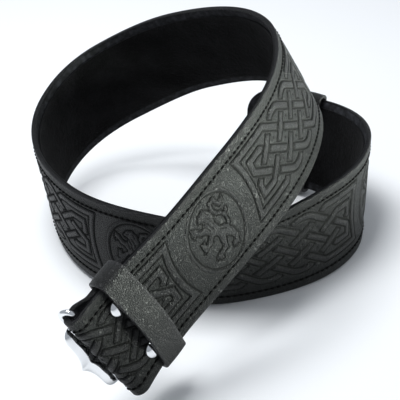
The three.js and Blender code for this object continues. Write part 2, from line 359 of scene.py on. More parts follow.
class Finishes:
    """Every finish of the belt, made once."""

    def __init__(self) -> None:
        """Builds the materials."""
        shine = "Specular IOR Level"
        self.embossed = GrainedLeather(
            "embossed_leather", (0.004, 0.0044, 0.0044), 0.4, constants=((shine, 0.24),)
        ).make()
        self.plain = GrainedLeather(
            "keeper_leather", (0.005, 0.0053, 0.005), 0.42, constants=((shine, 0.28),), grain_depth=0.00045
        ).make()
        self.flesh = FleshSide(
            "flesh_side", (0.004, 0.0042, 0.005), 0.85, constants=((shine, 0.25),)
        ).make()
        sheen = (("Sheen Weight", 0.03), ("Sheen Roughness", 0.5), (shine, 0.1))
        self.fuzz = FuzzyCloth("fuzzy_lining", (0.0011, 0.0011, 0.0012), 0.95, constants=sheen).make()
        self.chrome = PolishedMetal("chrome", (0.86, 0.87, 0.88), 0.07, 1.0).make()
        black = (0.0012, 0.0012, 0.0012)
        self.thread = WaxedThread("waxed_thread", black, 0.85, constants=((shine, 0.12),)).make()
        self.floor = StudioFloor("pale_floor", (0.93, 0.93, 0.93), 0.6).make()


# Meshes


class Sharp(Enum):
    """Above which angle between faces an edge stays sharp, in degrees."""

    SOFT = 60.0
    CRISP = 34.0


def link_object(name: str, data: Any) -> bpy.types.Object:
    """Makes an object of a mesh, a lamp or a camera and puts it in the scene.

    Args:
        name: the object's name.
        data: its mesh, lamp or camera.

    Returns:
        The linked object.
    """
    made = bpy.data.objects.new(name, data)
    bpy.context.scene.collection.objects.link(made)
    return made


def make_mesh(
    name: str,
    points: Array,
    faces: Sequence[Sequence[int]] | Array,
    materials: Sequence[bpy.types.Material],
    indices: Array | None = None,
    attributes: dict[str, Array] | None = None,
    sharp: Sharp = Sharp.SOFT,
) -> bpy.types.Object:
    """Makes a closed mesh object, its faces turned outwards.

    Args:
        name: the piece's name.
        points: its vertices, in millimetres in the belt's frame.
        faces: vertex numbers of each face. An array is read as faces of equal size.
        materials: its materials.
        indices: the material number of each face.
        attributes: numbers on its vertices, by name.
        sharp: which edges stay sharp.

    Returns:
        The linked object.
    """
    listed = [list(f) for f in faces]
    counts = np.array([len(f) for f in listed])
    flat = np.concatenate([np.asarray(f) for f in listed])
    starts = np.concatenate(([0], np.cumsum(counts)[:-1]))
    fans = []
    for size in np.unique(counts):
        chosen = starts[counts == size]
        for k in range(1, size - 1):
            fans.append(np.stack([flat[chosen], flat[chosen + k], flat[chosen + k + 1]], 1))
    corners = np.asarray(points)[np.concatenate(fans)]
    volume = np.einsum("ij,ij->i", corners[:, 0], np.cross(corners[:, 1], corners[:, 2])).sum()
    if volume < 0:
        listed = [f[::-1] for f in listed]
    mesh = bpy.data.meshes.new(name)
    mesh.from_pydata((np.asarray(points) * MM).tolist(), [], listed)
    for material in materials:
        mesh.materials.append(material)
    mesh.polygons.foreach_set("use_smooth", np.ones(len(listed), bool))
    if indices is not None:
        mesh.polygons.foreach_set("material_index", np.asarray(indices, np.int32))
    for key, values in (attributes or {}).items():
        layer = mesh.attributes.new(key, "FLOAT", "POINT")
        layer.data.foreach_set("value", np.asarray(values, np.float32))
    mesh.set_sharp_from_angle(angle=math.radians(sharp.value))
    mesh.update()
    return link_object(name, mesh)


def tube_faces(rings: int, sides: int, closed: bool = False) -> list[list[int]]:
    """Faces between rings of points.

    Args:
        rings: how many rings there are.
        sides: how many points each has.
        closed: whether the last ring joins the first.

    Returns:
        The faces, with a cap at each end unless the tube is closed.
    """
    count = rings if closed else rings - 1
    start = (np.arange(count)[:, None] * sides + np.arange(sides)[None, :]).ravel()
    turn = (np.arange(count)[:, None] * sides + (np.arange(sides)[None, :] + 1) % sides).ravel()
    total = rings * sides
    quads = np.stack([start, turn, (turn + sides) % total, (start + sides) % total], 1).tolist()
    if not closed:
        quads.append(list(range(sides))[::-1])
        quads.append(list(range(total - sides, total)))
    return quads


def ways_along(line: Array) -> Array:
    """Unit directions along a line of points."""
    way = np.gradient(line, axis=0)
    return way / np.linalg.norm(way, axis=1)[:, None]


def seat(piece: bpy.types.Object, body: str, slot: str, *nodes: str) -> bpy.types.Object:
    """Rides a piece on its body, hides the solids that it stands for and logs its face count.

    Args:
        piece: the finished object.
        body: the body that it moves with.
        slot: not used.
        nodes: the solids that it replaces.

    Returns:
        The same object.
    """
    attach(piece, body)
    if nodes:
        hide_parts(*nodes)
    faces = len(piece.data.polygons)
    log.info("%s: %d faces, on %s", piece.name, faces, body)
    return piece


# The strap's course


@dataclass(frozen=True)
class Lie:
    """How the strap lies at one place: degrees, strap widths and degrees."""

    heading: float
    rise: float
    lean: float


@dataclass
class Course:
    """The way the strap runs. The table has one row for each sixteenth of its length."""

    length: float = 864.0
    width: float = 57.0
    thickness: float = 3.2
    steps: int = 720
    probe: float = 0.002
    shift: Array = field(default_factory=lambda: np.zeros(3))
    rows: tuple[Lie, ...] = (
        Lie(56.5, 0.655, -21),
        Lie(43, 1.025, -9),
        Lie(51, 1.385, -14.5),
        Lie(66.5, 1.61, -21),
        Lie(90.5, 1.74, -27),
        Lie(133, 1.735, -23),
        Lie(152, 1.47, -14),
        Lie(189.5, 1.075, 5),
        Lie(243.5, 0.735, 9.5),
        Lie(281.5, 0.56, 6.5),
        Lie(306.5, 0.54, 3),
        Lie(336.5, 0.56, 2),
        Lie(374.5, 0.5, 9),
        Lie(401.5, 0.515, -2),
        Lie(439.5, 0.5, 2),
        Lie(499.5, 0.535, 22),
        Lie(518, 0.555, 8),
    )

    def __post_init__(self) -> None:
        """Walks the middle line of the outer face."""
        shares = (np.arange(self.steps) + 0.5) / self.steps
        strides = self.travel(shares) * self.length / self.steps
        self.walk = np.concatenate((np.zeros((1, 3)), np.cumsum(strides, 0)))
        self.walk[:, 2] = self.width * self.column("rise", np.arange(self.steps + 1) / self.steps)

    def column(self, name: str, share: Array) -> Array:
        """A column of the table as a smooth curve through its rows.

        Args:
            name: the column.
            share: shares of the length.

        Returns:
            The column's value at each share.
        """
        rows = np.array([getattr(row, name) for row in self.rows], float)
        padded = np.concatenate(([2 * rows[0] - rows[1]], rows, [2 * rows[-1] - rows[-2]]))
        last = len(rows) - 1
        place = np.clip(share, 0, 1) * last
        row = np.minimum(place.astype(int), last - 1)
        t = place - row
        a, b, c, d = (padded[row + k] for k in range(4))
        return b + 0.5 * t * (c - a + t * (2 * a - 5 * b + 4 * c - d + t * (3 * (b - c) + d - a)))

    def travel(self, share: Array) -> Array:
        """Direction of travel at shares of the length.

        Args:
            share: shares of the length.

        Returns:
            A unit vector for each share.
        """
        low = np.maximum(share - self.probe, 0)
        high = np.minimum(share + self.probe, 1)
        rise = self.column("rise", high) - self.column("rise", low)
        climb = self.width * rise / ((high - low) * self.length)
        flat = np.sqrt(1 - climb**2)
        heading = np.radians(self.column("heading", share))
        return np.stack([np.cos(heading) * flat, np.sin(heading) * flat, climb], 1)

    def at(self, distance: Array) -> tuple[Array, Array, Array, Array]:
        """Where the strap is at distances from the fold.

        Args:
            distance: millimetres along the strap.

        Returns:
            Points on the middle of the outer face, and the directions along the strap,
            across it towards the top edge, and inwards through its thickness.
        """
        distance = np.atleast_1d(np.asarray(distance, float))
        share = np.clip(distance / self.length, 0, 1)
        place = share * self.steps
        k = np.minimum(place.astype(int), self.steps - 1)
        along = self.travel(share)
        point = self.walk[k] + (self.walk[k + 1] - self.walk[k]) * (place - k)[:, None]
        point = point + along * (distance - share * self.length)[:, None] + self.shift
        up = np.array([0, 0, 1.0]) - along[:, 2:] * along
        up /= np.linalg.norm(up, axis=1)[:, None]
        outward = np.cross(along, up)
        lean = np.radians(self.column("lean", share))[:, None]
        across = up * np.cos(lean) + outward * np.sin(lean)
        return point, along, across, np.cross(across, along)

    def spot(self, distance: float) -> tuple[Array, ...]:
        """The point and the three directions at one distance."""
        return tuple(values[0] for values in self.at(np.array([distance])))


# Tooled pattern


def segment_distance(points: Array, segments: Array) -> Array:
    """Distance from each point to the nearest of the segments.

    Args:
        points: n places on the flat strap.
        segments: m rows of two ends, (x1, y1, x2, y2).

    Returns:
        n distances.
    """
    reach, far = 3.0, 1e3
    nearest = np.full(len(points), far)
    for x1, y1, x2, y2 in segments:
        way = np.array([x2 - x1, y2 - y1])
        length2 = max(float(way @ way), 1e-9)
        near = (points[:, 0] > min(x1, x2) - reach) & (points[:, 0] < max(x1, x2) + reach)
        near &= (points[:, 1] > min(y1, y2) - reach) & (points[:, 1] < max(y1, y2) + reach)
        rel = points[near] - (x1, y1)
        t = np.clip(rel @ way / length2, 0, 1)
        gap = np.linalg.norm(rel - t[:, None] * way, axis=1)
        nearest[near] = np.minimum(nearest[near], gap)
    return nearest


@dataclass
class KnotPanel:
    """One panel of plaited bands between two ovals. Three closed bands pass over and under
    each other. The panel looks the same turned by half a turn."""

    length: float
    half: float = 17.45
    inner: float = 10.1
    band: float = 4.1
    side: float = 11.1
    first: float = 16.4
    turn: float = 8.0
    gap: float = 1.35
    end_inset: float = 2.5
    end_hollow: float = 3.1
    rounding: float = 3.4
    shy: float = 1.1
    crown_height: float = 0.36
    groove_width: float = 0.46
    groove_depth: float = 0.75
    dot_spread: float = 0.45
    dot_depth: float = 0.5

    def __post_init__(self) -> None:
        """Lays the bands and cuts their edges where another band passes over."""
        self.pitch = (self.length / 2 - self.first) / 2
        self.slope = 2 * self.half / (3 * self.pitch - self.turn)
        self.bands = [self._border(), self._loop(), self._turned(self._loop())]
        self.crossings = self._find_crossings()
        self.edges, self.middles = self._cut()
        self.dots = self._dots()

    def _rising(self, index: int, height: float) -> tuple[float, float]:
        """A point on a rising lattice line."""
        return (self.first + index * self.pitch + height / self.slope, height)

    def _falling(self, index: int, height: float) -> tuple[float, float]:
        """A point on a falling lattice line."""
        return (self.first + index * self.pitch - height / self.slope, height)

    def _border(self) -> Array:
        """The outer band: hollow ends, and two arms that cross in the middle.

        Returns:
            Its corners in order.
        """
        heights = np.linspace(-self.half, self.half, 11)
        hollow = self.end_inset + self.end_hollow * (1 - (heights / self.half) ** 2)
        left = list(zip(hollow, heights))
        right = list(zip(self.length - hollow, heights))
        down = [self._falling(2, self.half), self._falling(2, -self.half)]
        up = [self._rising(2, self.half), self._rising(2, -self.half)]
        return np.array(left + down + right + up)

    def _loop(self) -> Array:
        """One of the two inner bands, its turns at the edges rounded.

        Returns:
            Its corners in order.
        """
        elbow = self.slope * (self.first - self.side)
        far = self.length - self.side
        route = [
            (self.side, elbow),
            (self.side, self.inner),
            self._falling(1, self.inner),
            self._falling(1, -self.half),
            self._rising(4, -self.half),
            (far, elbow),
            (far, self.inner),
            self._rising(3, self.inner),
            self._rising(3, -self.half),
            self._falling(0, -self.half),
        ]
        rounded = []
        for i, point in enumerate(route):
            here = np.array(point)
            if abs(abs(here[1]) - self.half) > 0.1:
                rounded.append(here)
                continue
            before, after = np.array(route[i - 1]), np.array(route[(i + 1) % len(route)])
            ways = (before - here, after - here)
            start, end = (here + way / np.linalg.norm(way) * self.rounding for way in ways)
            for share in (0.0, 0.25, 0.5, 0.75, 1.0):
                bend = (1 - share) ** 2 * start + 2 * share * (1 - share) * here + share**2 * end
                rounded.append(bend)
        return np.array(rounded)

    def _turned(self, band: Array) -> Array:
        """A band turned by half a turn about the panel's middle."""
        return np.array([self.length, 0]) - band

    def _find_crossings(self) -> list[tuple[Array, Array, Array]]:
        """Where bands cross.

        Returns:
            For each crossing its place and the directions of the upper and lower band.
        """
        lines = [(b[i], b[(i + 1) % len(b)]) for b in self.bands for i in range(len(b))]
        found = []
        for i, (a, b) in enumerate(lines):
            for c, d in lines[i + 1 :]:
                u, w = b - a, d - c
                turn = u[0] * w[1] - u[1] * w[0]
                if abs(turn) < 1e-6:
                    continue
                rel = c - a
                s = (rel[0] * w[1] - rel[1] * w[0]) / turn
                t = (rel[0] * u[1] - rel[1] * u[0]) / turn
                if not (0.001 < s < 0.999 and 0.001 < t < 0.999):
                    continue
                place = a + s * u
                row = round(place[1] / (self.slope * self.pitch / 2))
                first_falls = u[0] * u[1] < 0
                first_over = first_falls if row % 2 == 0 else not first_falls
                over, under = (u, w) if first_over else (w, u)
                found.append((place, over / np.linalg.norm(over), under / np.linalg.norm(under)))
        return found

    def _hidden(self, points: Array, way: Array, reach: float) -> Array:
        """Which points of a line that runs along way lie under another band.

        Args:
            points: places on the line.
            way: the line's direction.
            reach: how far from the upper band's middle it hides.

        Returns:
            True for each hidden point.
        """
        hidden = np.zeros(len(points), bool)
        for place, over, under in self.crossings:
            if abs(abs(way @ under) - 1) > 0.02:
                continue
            rel = points - place
            beside = np.abs(rel @ np.array([-under[1], under[0]])) < self.band / 2 + 0.2
            beneath = np.abs(rel @ np.array([-over[1], over[0]])) < reach
            close = np.linalg.norm(rel, axis=1) < 3 * self.band
            hidden |= beside & beneath & close
        return hidden

    def _runs(self, start: Array, end: Array, reach: float) -> list[list[float]]:
        """The parts of a straight line that no band hides.

        Args:
            start: the line's first end.
            end: its other end.
            reach: how far from an upper band's middle it is hidden.

        Returns:
            Segments (x1, y1, x2, y2).
        """
        length = float(np.linalg.norm(end - start))
        if length < 1e-6:
            return []
        shares = np.linspace(0, 1, max(2, int(length / 0.1)))
        points = start + shares[:, None] * (end - start)
        seen = ~self._hidden(points, (end - start) / length, reach)
        runs, first = [], None
        for k, shown in enumerate(seen):
            if shown and first is None:
                first = k
            if first is not None and (not shown or k == len(seen) - 1):
                runs.append([*points[first], *points[k]])
                first = None
        return runs

    def _cut(self) -> tuple[Array, Array]:
        """Cuts the bands' edges and middle lines, and closes each lower band's cut ends.

        Returns:
            The shown edge segments, and the shown middle segments.
        """
        edges, middles = [], []
        reach = self.band / 2 + self.gap
        for band in self.bands:
            count = len(band)
            ways = np.array([band[(i + 1) % count] - band[i] for i in range(count)])
            ways /= np.linalg.norm(ways, axis=1)[:, None]
            normals = np.stack([-ways[:, 1], ways[:, 0]], 1)
            bisector = normals + np.roll(normals, 1, 0)
            mitre = bisector / (1 + np.einsum("ij,ij->i", normals, np.roll(normals, 1, 0)))[:, None]
            for i in range(count):
                k = (i + 1) % count
                middles += self._runs(band[i], band[k], reach + self.shy)
                for side in (-0.5 * self.band, 0.5 * self.band):
                    edges += self._runs(band[i] + side * mitre[i], band[k] + side * mitre[k], reach)
        for place, over, under in self.crossings:
            beside = np.array([-under[1], under[0]])
            across = np.array([-over[1], over[0]])
            for side in (-1, 1):
                ends = []
                for edge in (-0.5, 0.5):
                    base = place + edge * self.band * beside
                    t = (side * reach - (base - place) @ across) / (under @ across)
                    ends.append(base + t * under)
                edges.append([*ends[0], *ends[1]])
        return np.array(edges), np.array(middles)

    def _dots(self) -> Array:
        """Small pricks in the middle of each open cell."""
        row = self.slope * self.pitch / 2
        dots = [(self.first + j * self.pitch, side * row) for j in (1, 2, 3) for side in (-1, 1)]
        dots += [(self.first + (j + 0.5) * self.pitch, 0) for j in (1, 2)]
        return np.array(dots)

    def relief(self, x: Array, y: Array) -> tuple[Array, Array]:
        """Height of the tooled leather, and how deeply it is tooled.

        Args:
            x: places along the panel from its left corners.
            y: places across it from its middle line.

        Returns:
            Heights in millimetres, and shares from 0 to 1.
        """
        points = np.stack([x, y], 1)
        groove = np.exp(-((segment_distance(points, self.edges) / self.groove_width) ** 2))
        crown = np.clip(1 - (segment_distance(points, self.middles) / (self.band / 2)) ** 2, 0, 1)
        dots = np.zeros(len(x))
        for dot in self.dots:
            dots += np.exp(-(((points - dot) ** 2).sum(1)) / self.dot_spread)
        height = self.crown_height * crown**0.6 - self.groove_depth * groove - self.dot_depth * dots
        return height, np.clip(groove + dots, 0, 1)


@dataclass(frozen=True)
class Limb:
    """A tapering stroke of the heraldic beast: its places in the oval, and radii."""

    route: tuple[tuple[float, float, float], ...]


@dataclass
class Oval:
    """An oval with a raised rim round a rampant heraldic lion of a common kind."""

    wide: float = 18.9
    high: float = 21.9
    soft: float = 0.3
    rim_height: float = 0.42
    rim_width: float = 0.6
    body_height: float = 0.5
    outline_depth: float = 0.6
    groove_depth: float = 0.5
    limbs: tuple[Limb, ...] = (
        Limb(((-5.9, 12.6, 1.1), (-3.4, 13.3, 2.5), (-1.2, 12.6, 2.4), (-1.0, 9.4, 3.1), (-2.8, 5.6, 3.5))),
        Limb(((-2.8, 5.6, 3.5), (-1.2, 2.4, 3.0), (0.4, 0.0, 2.2), (3.2, -2.6, 3.3))),
        Limb(((-2.2, 15.0, 0.8), (-1.4, 16.0, 0.5))),
        Limb(((-5.0, 6.0, 1.7), (-8.2, 7.4, 1.4), (-10.4, 10.4, 1.3), (-11.6, 11.2, 1.1))),
        Limb(((-11.4, 11.3, 0.6), (-12.9, 9.6, 0.4))),
        Limb(((-10.8, 9.6, 0.6), (-12.4, 7.8, 0.4))),
        Limb(((-10.6, 11.4, 0.6), (-11.9, 13.0, 0.4))),
        Limb(((-3.4, 1.6, 1.8), (-6.8, -1.2, 1.5), (-10.4, -2.0, 1.3), (-10.7, 0.4, 1.1))),
        Limb(((-10.8, 0.6, 0.6), (-11.4, 2.1, 0.4))),
        Limb(((-10.2, -2.4, 0.6), (-12.2, -3.2, 0.4))),
        Limb(((-9.8, 0.6, 0.6), (-9.4, 2.0, 0.4))),
        Limb((
            (1.6, -2.4, 2.6), (0.6, -6.2, 1.8), (-0.6, -10.2, 1.4), (-4.2, -10.9, 1.3), (-6.6, -11.4, 1.2),
        )),
        Limb(((-6.6, -11.6, 0.7), (-6.2, -13.8, 0.5))),
        Limb(((-5.2, -11.8, 0.7), (-4.6, -14.2, 0.5))),
        Limb(((-7.0, -11.0, 0.6), (-8.4, -12.0, 0.4))),
        Limb(((3.8, -3.0, 3.1), (6.6, -6.6, 2.1), (7.9, -10.4, 1.5), (6.9, -12.9, 1.3), (4.6, -13.0, 1.1))),
        Limb(((4.6, -13.2, 0.6), (3.4, -14.6, 0.4))),
        Limb(((5.8, -13.6, 0.7), (5.2, -15.4, 0.5))),
        Limb(((7.2, -13.4, 0.7), (7.2, -15.4, 0.5))),
        Limb(((6.2, -2.6, 0.9), (8.2, -1.2, 0.9), (8.4, 3.2, 0.8), (6.8, 6.6, 0.8), (4.3, 8.4, 0.9))),
        Limb(((4.3, 8.4, 0.9), (3.2, 11.8, 0.9), (4.0, 15.0, 1.0), (6.6, 15.4, 1.1), (7.4, 12.6, 0.9))),
        Limb(((7.4, 12.6, 0.9), (8.8, 10.6, 1.1), (11.2, 12.0, 0.7), (11.8, 13.4, 0.4))),
        Limb(((8.2, 4.2, 0.8), (10.2, 5.0, 0.9), (10.8, 6.6, 0.4))),
    )
    strokes: tuple[tuple[float, float, float, float], ...] = (
        (-4.4, 13.6, -3.6, 13.9),
        (-6.2, 11.9, -4.6, 11.5),
        (-0.9, 14.0, 0.1, 11.6),
        (-2.0, 11.4, -0.4, 8.6),
        (-3.6, 10.6, -2.2, 7.4),
        (-0.2, 8.0, 0.4, 5.2),
        (-4.6, 8.2, -3.4, 4.4),
        (-2.4, 6.2, -1.2, 2.6),
        (1.4, 0.4, 4.8, -2.2),
        (3.0, -5.0, 2.4, -7.0),
    )

    def relief(self, x: Array, y: Array) -> tuple[Array, Array]:
        """Height of the rim and the beast, and how deeply the leather is tooled.

        Args:
            x: places along the strap from the oval's middle.
            y: places across it from the oval's middle.

        Returns:
            Heights in millimetres, and shares from 0 to 1.
        """
        ring = np.sqrt((x / self.wide) ** 2 + (y / self.high) ** 2) + 1e-9
        pull = np.sqrt((x / self.wide**2) ** 2 + (y / self.high**2) ** 2) + 1e-9
        off = (ring - 1) * ring / pull
        rim = self.rim_height * np.exp(-((off / self.rim_width) ** 2))
        inside = np.exp(-(((off + 1.35) / 0.42) ** 2))
        outside = 0.3 * np.exp(-(((off - 1.2) / 0.4) ** 2))
        points = np.stack([x, y], 1)
        total = np.zeros(len(x))
        for limb in self.limbs:
            for (x1, y1, r1), (x2, y2, r2) in zip(limb.route, limb.route[1:]):
                way = np.array([x2 - x1, y2 - y1])
                rel = points - (x1, y1)
                t = np.clip(rel @ way / (way @ way), 0, 1)
                gap = np.linalg.norm(rel - t[:, None] * way, axis=1) - (r1 + (r2 - r1) * t)
                total += np.exp(-np.clip(gap, -6, 12) / self.soft)
        skin = -self.soft * np.log(np.maximum(total, 1e-30))
        body = self.body_height * np.clip(-skin / 1.5, 0, 1) ** 0.6
        outline = np.exp(-(((skin - 0.2) / 0.36) ** 2))
        folds = np.exp(-((segment_distance(points, np.array(self.strokes)) / 0.34) ** 2))
        groove_shade = np.clip(inside + outside + outline + 0.8 * folds, 0, 1)
        grooves = self.groove_depth * (inside + outside) + self.groove_depth * folds
        return rim + body - self.outline_depth * outline - grooves, groove_shade


@dataclass
class Tooling:
    """The whole strap's pattern: ovals at their places, and a panel between each two."""

    ovals: tuple[float, ...] = (-64.4, 87.6, 247.0, 417.0, 587.5, 754.5, 925.0)
    panel_height: float = 1.2
    beside: float = 25.3
    stitch_row: float = 22.8
    channel_width: float = 0.62
    channel_depth: float = 0.42
    oval_reach: tuple[float, float] = (22.5, 24.5)
    panel_reach: tuple[float, float] = (2.5, 21.0)
    last: float = 848.0

    def relief(self, s: Array, v: Array) -> tuple[Array, Array]:
        """Height of the outer face over the plain leather, and how deeply it is tooled.

        Args:
            s: places along the strap.
            v: places across it from its middle.

        Returns:
            Heights in millimetres, and shares from 0 to 1.
        """
        height = np.zeros(len(s))
        groove_shade = np.zeros(len(s))
        oval = Oval()
        for place in self.ovals:
            near = (np.abs(s - place) < self.oval_reach[0]) & (np.abs(v) < self.oval_reach[1])
            if near.any():
                height[near], groove_shade[near] = oval.relief(s[near] - place, v[near])
        past, beyond = self.panel_reach
        on_panels = (np.abs(v - self.panel_height) < beyond) & (s < self.last)
        for left, right in zip(self.ovals, self.ovals[1:]):
            start, end = left + self.beside, right - self.beside
            near = on_panels & (s > start - past) & (s < end + past)
            if near.any():
                panel = KnotPanel(end - start)
                height[near], groove_shade[near] = panel.relief(s[near] - start, v[near] - self.panel_height)
        channel = np.exp(-(((np.abs(v) - self.stitch_row) / self.channel_width) ** 2))
        return height - self.channel_depth * channel, np.clip(groove_shade + 0.75 * channel, 0, 1)


# The strap and what is on it


@dataclass
class Strap:
    """The embossed strap: folded round the bar, tooled outside, rough inside."""

    course: Course
    finishes: Finishes
    tooling: Tooling = field(default_factory=Tooling)
    tip_radius: float = 14.0
    fold_place: float = 10.5
    fold_back: float = 46.0
    fold_gap: float = 4.8
    leg_gap: float = 0.5
    taper: tuple[float, float] = (13.5, 20.7)
    edge: float = 0.85
    inner_rows: float = 20.9
    channel_rows: tuple[float, float, float] = (21.2, 24.3, 0.42)
    margin_rows: tuple[float, ...] = (25.2, 26.2, 27.0)
    pattern_edge: float = 21.0
    # Where the paler edge band begins: wear with painted highlight.
    wear_and_highlight_from: float = 26.2
    cuts: tuple[float, ...] = (225.2, 439.5, 732.0)
    fine: float = 0.42
    coarse: float = 0.56

    @property
    def fold_radius(self) -> float:
        """Outer radius of the fold."""
        return self.course.thickness + self.fold_gap / 2

    @property
    def fold_run(self) -> float:
        """Length of the outer face round the fold."""
        return math.pi * self.fold_radius

    @property
    def start(self) -> float:
        """Where the folded-back end stops, as a distance along the outer face."""
        return self.fold_place - self.fold_run - (self.fold_back - self.fold_place)

    @property
    def tip(self) -> float:
        """Where the tip's round corners begin."""
        return self.course.length - self.tip_radius

    def half_width(self, s: Array) -> Array:
        """Half the width: full, then round at the tip's corners.

        Args:
            s: distances along the strap.

        Returns:
            Half the width at each distance.
        """
        run = np.maximum(0, s - self.tip)
        round_part = np.sqrt(np.maximum(0, self.tip_radius**2 - np.minimum(run, self.tip_radius) ** 2))
        return self.course.width / 2 - self.tip_radius + round_part

    def frames(self, s: Array) -> tuple[Array, Array, Array]:
        """Frames of the outer face, round the fold and down its back leg too.

        Args:
            s: distances along the outer face. Below the fold's place they run round the
                fold, and then along the back leg.

        Returns:
            Points on the outer face's middle line, and directions across and inwards.
        """
        turn = self.fold_place
        leg = turn - self.fold_run
        point, _, across, inward = self.course.at(np.maximum(s, turn))
        start, along, level, facing_in = self.course.spot(turn)
        angle = np.clip((turn - s) / self.fold_radius, 0, math.pi)[:, None]
        facing = facing_in * np.cos(angle) + along * np.sin(angle)
        centre = start + facing_in * self.fold_radius
        round_fold = (s < turn) & (s >= leg)
        point = np.where(round_fold[:, None], centre - facing * self.fold_radius, point)
        across = np.where((s < turn)[:, None], level, across)
        inward = np.where(round_fold[:, None], facing, inward)
        back = s < leg
        if back.any():
            place = turn + (leg - s[back])
            p, _, b, n = self.course.at(place)
            low, high = self.taper
            t = np.clip((place - low) / (high - low), 0, 1)
            gap = self.fold_gap + (self.leg_gap - self.fold_gap) * t * t * (3 - 2 * t)
            point[back] = p + n * (2 * self.course.thickness + gap)[:, None]
            across[back] = b
            inward[back] = -n
        return point, across, inward

    def settle(self) -> None:
        """Moves the course so that the strap's extent is that of its solid."""
        low, high = (np.array(corner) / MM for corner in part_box("strap"))
        places = np.linspace(-self.fold_run, self.course.length, 3000)
        point, across, inward = self.frames(places)
        corner = 0.2
        side = (self.half_width(places) - corner)[:, None] * across
        corners = np.concatenate([point + sign * side + corner * inward for sign in (-1, 1)])
        self.course.shift = self.course.shift + (low + high - corners.min(0) - corners.max(0)) / 2

    def _rows(self, step: float) -> Array:
        """Places across the outer face as shares of its half width, top to bottom.

        Args:
            step: spacing of the rows over the pattern.

        Returns:
            Shares from 1 to -1.
        """
        half = self.course.width / 2
        inner = np.arange(0, self.inner_rows, step)
        margin = [*self.margin_rows, half - self.edge]
        side = np.concatenate((inner, np.arange(*self.channel_rows), margin)) / half
        return np.concatenate((side[::-1], -side[1:]))

    def _back(self) -> tuple[Array, slice]:
        """The section behind the outer face: round the lower edge, over the back and up.

        Returns:
            Rows of depth, share of the half width and inset from it, and which of them
            are the ends of the inner face's strips.
        """
        thick, edge = self.course.thickness, self.edge
        turns = np.radians([15, 35, 55, 75])
        eased = [(edge * (1 - math.cos(a)), edge * (1 - math.sin(a))) for a in turns]
        lower = [(depth, -1, inset) for depth, inset in eased]
        lower += [(thick - depth, -1, inset) for depth, inset in eased]
        shares = (0.93, 0.6, 0.2)
        flat = [(thick, -share, 0) for share in shares] + [(thick, share, 0) for share in shares[::-1]]
        upper = [(depth, -side, inset) for depth, side, inset in lower[::-1]]
        return np.array(lower + flat + upper), slice(len(lower) - 1, len(lower) + len(flat))

    def _piece(self, name: str, places: Array, step: float) -> bpy.types.Object:
        """Builds one closed length of the strap.

        Args:
            name: the piece's name.
            places: distances along the outer face, in order.
            step: spacing of the rows across it.

        Returns:
            The new object.
        """
        point, across, inward = self.frames(places)
        half, full = self.half_width(places), self.course.width / 2
        rows = self._rows(step)
        count = len(rows)
        v = rows * half[:, None]
        stretched = v * np.maximum(full / half, 1)[:, None]
        drawn = np.where(np.abs(rows) * full > self.pattern_edge, stretched, v)
        relief = self.tooling.relief(np.repeat(places, count), drawn.ravel())
        height, groove_shade = (values.reshape(v.shape) for values in relief)
        back, inner = self._back()
        depth, share, inset = back.T
        side = np.concatenate((v, half[:, None] * share - np.sign(share) * inset), 1)
        deep = np.concatenate((-height, np.tile(depth, (len(places), 1))), 1)
        ring = point[:, None] + deep[..., None] * inward[:, None] + side[..., None] * across[:, None]
        sides = ring.shape[1]
        flesh = np.zeros(sides, int)
        flesh[count + inner.start : count + inner.stop] = 1
        index = np.concatenate((np.tile(flesh, len(places) - 1), [0, 0]))
        # Painted shade follows the tooled grooves. The cut edges get a paler share of 0.5: wear with
        # painted highlight.
        shade, wear_and_highlight = np.zeros(side.shape), np.full(side.shape, 0.5)
        shade[:, :count] = groove_shade
        # Edge band of the outer face: wear with painted highlight.
        wear_and_highlight[:, :count] = np.clip((np.abs(rows) * full - self.wear_and_highlight_from) / 2.0, 0, 1) * 0.6
        # Raised relief made paler: painted highlight.
        wear_and_highlight[:, :count] += np.clip(height / 0.5, 0, 0.4)
        materials = [self.finishes.embossed, self.finishes.flesh]
        attributes = {"groove_shade": shade.ravel(), "wear_and_highlight": wear_and_highlight.ravel()}
        faces = tube_faces(len(places), sides)
        return make_mesh(name, ring.reshape(-1, 3), faces, materials, index, attributes)

    def build(self) -> None:
        """Builds the strap in four lengths that meet at plain places between ovals and panels."""
        ends = (self.start, *self.cuts, self.tip)
        for i, (low, high) in enumerate(zip(ends, ends[1:])):
            step = self.fine if i == 0 else self.coarse
            places = np.linspace(low, high, int((high - low) / step) + 1)
            if high == self.tip:
                bend = np.radians(np.linspace(0, 86, 26)[1:])
                places = np.concatenate((places, self.tip + self.tip_radius * np.sin(bend)))
            piece = self._piece(f"strap_length_{i + 1}", places, step)
            seat(piece, "belt", "embossed_leather", *(["strap"] if i == 0 else []))


